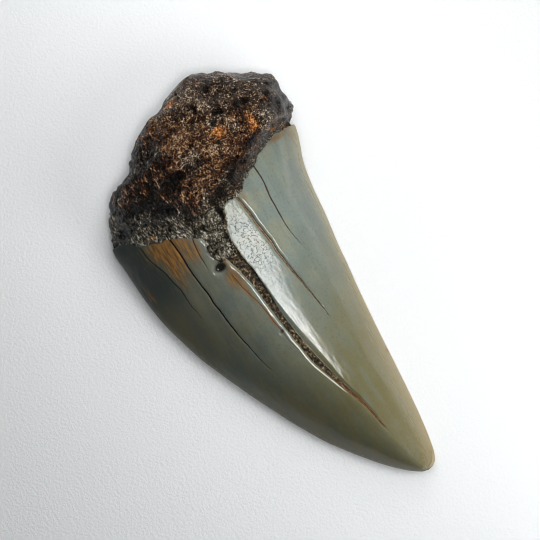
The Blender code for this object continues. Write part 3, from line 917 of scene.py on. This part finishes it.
# %% Root colour
def root_grains(tree, mm):
    """Wormy ridges and small domes, each with its own brightness: their height and lightness, 0 to 1."""
    flank_s = stored(tree, "flank")[0]
    flank_mm = stretched(mm, 0.8, 2.0, 1.2)
    round_dome, round_chance = granules_of(mm, 0.34)
    long_dome, long_chance = granules_of(flank_mm, 0.34)
    dome = between(flank_s, round_dome, long_dome)
    chance = between(flank_s, round_chance, long_chance)
    round_worm = mottle(mm, 0.75, 1.0, 0.5, 0.6)
    long_worm = mottle(flank_mm, 0.75, 1.0, 0.5, 0.6)
    worm = between(flank_s, round_worm, long_worm)
    ridge = step_up(calc("ABSOLUTE", calc("SUBTRACT", worm, 0.5)), 0.09, 0.0)
    height = calc("MAXIMUM", times(dome, 0.75), ridge)
    lightness = calc("MULTIPLY_ADD", times(dome, chance), 0.55, times(ridge, 0.42))
    return height, lightness


def root_colour(tree, mm, grain):
    """Grains over dark hollows, tinted by zone, with rust and black patches; hollows and patches partly
    painted shade.
    """
    # Colour follows the relief: darker in the hollows, partly the pores' dark fill and partly painted shade.
    detail = stored(tree, "height_detail")[0]
    # The black patches here are partly painted shade.
    _, _, rust_s, black_and_shade_s = stored(tree, "stains_and_shade")
    _, smooth_s, facet_s, shelf_s = stored(tree, "root_zones")
    flank_s = stored(tree, "flank")[0]
    long_fine = mottle(stretched(mm, 0.15, 0.4, 0.3), 1.0, 2.0, 0.65)
    fine = between(flank_s, mottle(mm, 0.16, 2.0, 0.65), long_fine)
    medium = mottle(mm, 1.0, 3.0, 0.6, 0.4)
    broad = mottle(mm, 3.0, 3.0)
    calm_grain = between(times(shelf_s, 0.45), grain, 0.3)
    long_ridge = mottle(stretched(mm, 0.7, 2.2, 1.4), 1.0, 2.0, 0.5)
    ridge_light = calc("MULTIPLY_ADD", long_ridge, 1.8, -1.05)
    off_shelf = step_up(shelf_s, 0.0, 1.0, 1.0, 0.35)
    light = calc("ADD", calm_grain, times(flank_s, off_shelf, ridge_light))
    light = calc("ADD", light, calc("MULTIPLY_ADD", medium, 1.5, -0.69))
    light = calc("ADD", light, calc("MULTIPLY_ADD", fine, 3.0, -1.49))
    for mask, weight in ((detail, 0.7), (shelf_s, 0.09), (black_and_shade_s, -0.8), (facet_s, -0.03)):
        light = calc("MULTIPLY_ADD", mask, weight, light)
    light = between(times(facet_s, 0.2), light, 0.36)
    browns = ramp(light, (0.0, (8, 5, 3)), (0.2, (40, 21, 12)), (0.42, (84, 51, 30)),
                  (0.65, (122, 86, 54)), (1.0, (188, 160, 124)))
    greys = ramp(light, (0.0, (8, 7, 5)), (0.2, (34, 31, 25)), (0.42, (78, 73, 60)),
                 (0.65, (126, 119, 102)), (1.0, (216, 210, 196)))
    rusts = ramp(light, (0.0, (40, 20, 9)), (0.25, (120, 66, 26)), (0.55, (190, 118, 54)),
                 (1.0, (234, 178, 112)))
    zone = calc("MAXIMUM", times(facet_s, 0.45), times(shelf_s, 0.9))
    zone = calc("MAXIMUM", zone, step_up(broad, 0.5, 0.62, 0.0, 0.6))
    rust_edge = calc("ADD", rust_s, calc("MULTIPLY_ADD", medium, 1.2, -0.65))
    return layers(
        browns,
        (zone, greys),
        (step_up(rust_edge, 0.2, 0.8, 0.0, 0.9), rusts),
        # Near black on the smooth corner and, partly as painted shade, along the root's right step.
        (times(smooth_s, 0.9), (17, 15, 14)),
        # Near black in the deepest hollows: pore fill and painted shade.
        (step_up(detail, -0.15, -0.45, 0.0, 0.95), (8, 7, 6)),
    )


print("rust on the root:", len(ROOT_RUST), "patches, dark hollows:", len(ROOT_BLACK_AND_SHADE))

# %% [markdown]
# One Principled shader holds both. Enamel is glossy under its scratches. The root is duller, but its
# grains are polished enough to sparkle. Bump adds what is finer than the mesh, with heights in mm.


# %% Material of the tooth
def make_tooth_material():
    """Enamel and bone mixed by the ragged line between them, with their own gloss and bump."""
    material, tree, shader, mm = new_material("fossil_enamel_and_bone")
    root_share = step_up(stored(tree, "root_distance")[0], -0.08, 0.08)
    _, fill_s, strip_s, _ = stored(tree, "crack_fill")
    smooth_s = stored(tree, "root_zones")[1]
    lip_s = stored(tree, "lip")[1]
    tan_and_rim_highlight_s = stored(tree, "right_tone")[2]
    dome, grain = root_grains(tree, mm)
    enamel = crack_lines(tree, mm, enamel_colour(tree, mm), grain)
    colour = tint(root_share, enamel, root_colour(tree, mm, grain))
    tree.links.new(colour, shader.inputs["Base Color"])

    scratches = mottle(stretched(mm, 0.15, 2.5, 0.4), 1.0, 3.0)
    enamel_gloss = step_up(scratches, 0.35, 0.7, 0.14, 0.24)
    for share, gloss in ((strip_s, 0.23), (lip_s, 0.1), (times(tan_and_rim_highlight_s, 0.8), 0.5),
                         (step_up(fill_s, 0.2, 0.6), 0.5)):
        enamel_gloss = between(share, enamel_gloss, gloss)
    root_gloss = step_up(mottle(mm, 0.5, 3.0), 0.35, 0.65, 0.08, 0.26)
    root_gloss = times(root_gloss, step_up(stored(tree, "flank")[0], 0.0, 1.0, 1.0, 0.75))
    tree.links.new(between(root_share, enamel_gloss, root_gloss), shader.inputs["Roughness"])
    shader.inputs["IOR"].default_value = 1.6

    enamel_bump = times(mottle(mm, 0.35, 2.0), between(strip_s, 0.006, 0.011))
    enamel_bump = calc("ADD", enamel_bump, times(strip_pits(tree, mm), strip_s, -0.035))
    sand = mottle(mm, 0.16, 2.0, 0.6)
    root_bump = calc("ADD", times(dome, 0.11), times(sand, 0.08))
    root_bump = times(root_bump, between(smooth_s, 1.0, 0.2))
    fill_bump = times(fill_s, mottle(mm, 0.2, 3.0), 0.12)
    press(tree, shader, between(root_share, calc("ADD", enamel_bump, fill_bump), root_bump))
    return material


tooth.data.materials.append(make_tooth_material())
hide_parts("tooth")
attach(tooth, "root")
print("material nodes:", len(tooth.data.materials[0].node_tree.nodes))

# %% [markdown]
# The set: a plain pale table that curves up into a wall far behind, soft lights and a camera straight
# above. The photograph is turned against the tooth's own axes, so a helper turns picture directions.

# %% Table
PICTURE_TURN = np.radians(32.0)
PICTURE_CENTRE = (1.1, 2.96)
PICTURE_WIDTH = 67.5
OUTLINE_HEIGHT = 3.0
FLAT_RADIUS = 0.7
BEND_RADIUS = 0.3
WALL_TOP = 0.9
TABLE_GAP = 0.00002
TABLE_TURNS = 96


def from_picture(right, up, height):
    """Turn a place given right and up in the picture, and above the table, in mm, into the tooth's frame."""
    turned_x = np.cos(PICTURE_TURN) * right + np.sin(PICTURE_TURN) * up
    turned_y = -np.sin(PICTURE_TURN) * right + np.cos(PICTURE_TURN) * up
    return ((turned_x + PICTURE_CENTRE[0]) * MM, (turned_y + PICTURE_CENTRE[1]) * MM, height * MM)


def make_table():
    """A disc that turns up at its rim: a profile of radius and height, spun round in whole arrays."""
    bend = np.linspace(0.0, np.pi / 2.0, 12)[1:]
    rim = FLAT_RADIUS + BEND_RADIUS
    radius = np.concatenate(([0.001, 0.3, FLAT_RADIUS], FLAT_RADIUS + BEND_RADIUS * np.sin(bend), [rim]))
    height = np.concatenate(([0.0, 0.0, 0.0], BEND_RADIUS * (1.0 - np.cos(bend)), [WALL_TOP])) - TABLE_GAP
    angle = np.linspace(0.0, 2.0 * np.pi, TABLE_TURNS, endpoint=False)
    ring_x = radius[:, None] * np.cos(angle)
    ring_y = radius[:, None] * np.sin(angle)
    corners = np.stack((ring_x, ring_y, np.broadcast_to(height[:, None], ring_x.shape)), -1).reshape(-1, 3)
    faces = ring_faces(len(radius), TABLE_TURNS)[:, ::-1].tolist() + [list(range(TABLE_TURNS))]
    mesh = bpy.data.meshes.new("table")
    mesh.from_pydata(corners.tolist(), [], faces)
    mesh.shade_smooth()
    return add_object("table", mesh)


def make_table_finish():
    """Pale matt board with a very fine pebbled grain."""
    material, tree, shader, mm = new_material("pale_table")
    press(tree, shader, times(mottle(mm, 0.36, 2.0), 0.055))
    shader.inputs["Base Color"].default_value = (0.86, 0.88, 0.89, 1.0)
    shader.inputs["Roughness"].default_value = 0.3
    return material


table = make_table()
table.data.materials.append(make_table_finish())
print("table:", len(table.data.polygons), "faces, top at", table.data.vertices[0].co.z * 1000.0, "mm")

# %% [markdown]
# The light of the photograph is a bright cloudy window: soft, from the right and from above the picture,
# with a little from overhead. Only the overhead light shows in the gloss, as the long white reflection on
# the level strip. The camera looks straight down from 450 mm, far enough to draw the outline almost flat.

# %% Lights and camera
ROOM_LIGHT = 0.01
CAMERA_HEIGHT = 450.0
SENSOR = 36.0


def soft_light(name, place, size, power, aim, in_gloss):
    """A round area light at a place in the picture, turned to face the aim, mirrored in gloss or not."""
    data = bpy.data.lights.new(name, "AREA")
    data.shape = "DISK"
    data.size = size * MM
    data.energy = power
    light = add_object(name, data)
    light.visible_glossy = in_gloss
    light.location = from_picture(*place)
    towards = np.subtract(from_picture(*aim), light.location)
    light.rotation_euler = Vector(towards).to_track_quat("-Z", "Y").to_euler()


soft_light("window", (72.4, -19.4, 60.0), 70.0, 0.045, (36.2, -9.7, 0.0), False)
soft_light("side", (-6.5, 74.7, 60.0), 70.0, 0.039, (-3.3, 37.4, 0.0), False)
soft_light("lamp", (5.0, 35.0, 120.0), 70.0, 0.045, (3.0, 21.0, 0.0), False)
soft_light("overhead", (45.0, -70.0, 600.0), 110.0, 0.62, (0.0, 0.0, 4.0), True)
world = bpy.data.worlds.new("room")
world.use_nodes = True
background = world.node_tree.nodes["Background"]
background.inputs["Color"].default_value = (0.95, 0.98, 1.0, 1.0)
background.inputs["Strength"].default_value = ROOM_LIGHT
bpy.context.scene.world = world
bpy.context.scene.view_settings.view_transform = "Standard"
bpy.context.scene.cycles.filter_width = 1.0

camera_data = bpy.data.cameras.new("camera")
camera_data.sensor_width = SENSOR
camera_data.lens = SENSOR * (CAMERA_HEIGHT - OUTLINE_HEIGHT) / PICTURE_WIDTH
camera_data.clip_start = 0.01
camera = add_object("camera", camera_data)
camera.location = from_picture(0.0, 0.0, CAMERA_HEIGHT)
camera.rotation_euler = (0.0, 0.0, -PICTURE_TURN)
bpy.context.scene.camera = camera
print("camera lens:", round(camera_data.lens, 1), "mm,", len(bpy.data.lights), "lights")
